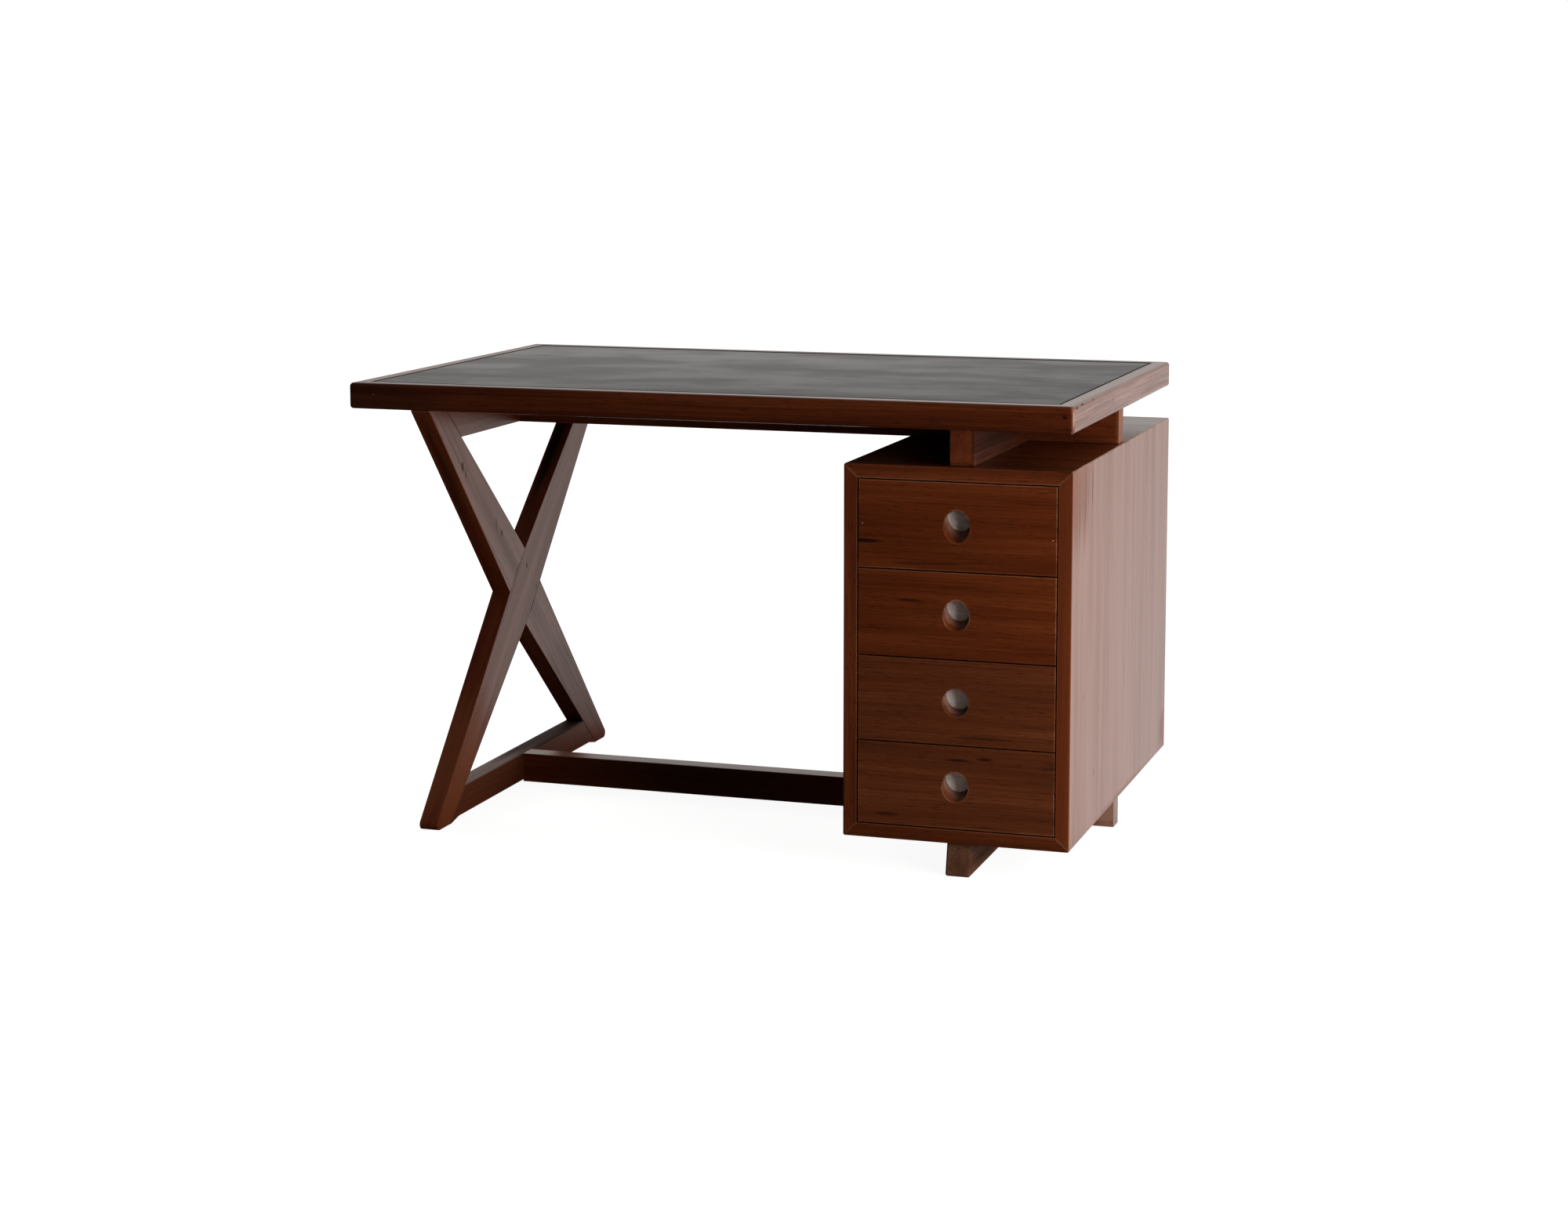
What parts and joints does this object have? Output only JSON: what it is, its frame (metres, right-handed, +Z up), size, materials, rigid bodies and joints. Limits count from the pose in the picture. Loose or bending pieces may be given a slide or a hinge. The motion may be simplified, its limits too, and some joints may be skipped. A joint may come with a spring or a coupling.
{
  "type": "writing desk",
  "caption": "Writing desk with a leather-covered top, a crossed-leg trestle at the left and a hung drawer pedestal with finger-hole pulls at the right.",
  "frame": {"origin": "on the floor under the middle of the top", "axes": "+X to the sitter's right along the desk, +Y from the drawer fronts to the back, +Z up"},
  "size_m": [1.22, 0.79, 0.75],
  "materials": {
    "teak": "solid teak, oiled and waxed, dark with age",
    "teak_veneer": "teak-faced board, waxed",
    "teak_front": "solid teak with level grain, waxed",
    "leather": "black leather, worn to a soft sheen",
    "blockboard": "plain board under the leather",
    "drawer_wood": "unfinished drawer timber",
    "plywood": "thin unfinished plywood",
    "pull_plate": "dull sheet aluminium"
  },
  "bodies": {
    "desk": {"top_panel": "blockboard", "leather_top": "leather", "lipping_front": "teak", "lipping_right": "teak", "lipping_back": "teak", "lipping_left": "teak", "leg_back_foot": "teak", "leg_front_foot": "teak", "upper_rail": "teak", "lower_rail": "teak", "spine_beam": "teak", "stretcher": "teak", "top_bearer": "teak", "foot_beam": "teak", "pedestal_bottom": "teak_veneer", "pedestal_right": "teak_veneer", "pedestal_top": "teak_veneer", "pedestal_left": "teak_veneer", "pedestal_back": "plywood", "runner_1_left": "drawer_wood", "runner_1_right": "drawer_wood", "runner_2_left": "drawer_wood", "runner_2_right": "drawer_wood", "runner_3_left": "drawer_wood", "runner_3_right": "drawer_wood", "runner_4_left": "drawer_wood", "runner_4_right": "drawer_wood"},
    "drawer_1": {"drawer_1_front": "teak_front", "drawer_1_left": "drawer_wood", "drawer_1_right": "drawer_wood", "drawer_1_bottom": "plywood", "drawer_1_back": "drawer_wood", "drawer_1_plate": "pull_plate"},
    "drawer_2": {"drawer_2_front": "teak_front", "drawer_2_left": "drawer_wood", "drawer_2_right": "drawer_wood", "drawer_2_bottom": "plywood", "drawer_2_back": "drawer_wood", "drawer_2_plate": "pull_plate"},
    "drawer_3": {"drawer_3_front": "teak_front", "drawer_3_left": "drawer_wood", "drawer_3_right": "drawer_wood", "drawer_3_bottom": "plywood", "drawer_3_back": "drawer_wood", "drawer_3_plate": "pull_plate"},
    "drawer_4": {"drawer_4_front": "teak_front", "drawer_4_left": "drawer_wood", "drawer_4_right": "drawer_wood", "drawer_4_bottom": "plywood", "drawer_4_back": "drawer_wood", "drawer_4_plate": "pull_plate"}
  },
  "joints": [
    {"name": "drawer_1_slide", "type": "slide", "parent": "desk", "child": "drawer_1", "axis": [0, -1, 0], "range_m": [0, 0.5]},
    {"name": "drawer_2_slide", "type": "slide", "parent": "desk", "child": "drawer_2", "axis": [0, -1, 0], "range_m": [0, 0.5]},
    {"name": "drawer_3_slide", "type": "slide", "parent": "desk", "child": "drawer_3", "axis": [0, -1, 0], "range_m": [0, 0.5]},
    {"name": "drawer_4_slide", "type": "slide", "parent": "desk", "child": "drawer_4", "axis": [0, -1, 0], "range_m": [0, 0.5]}
  ]
}
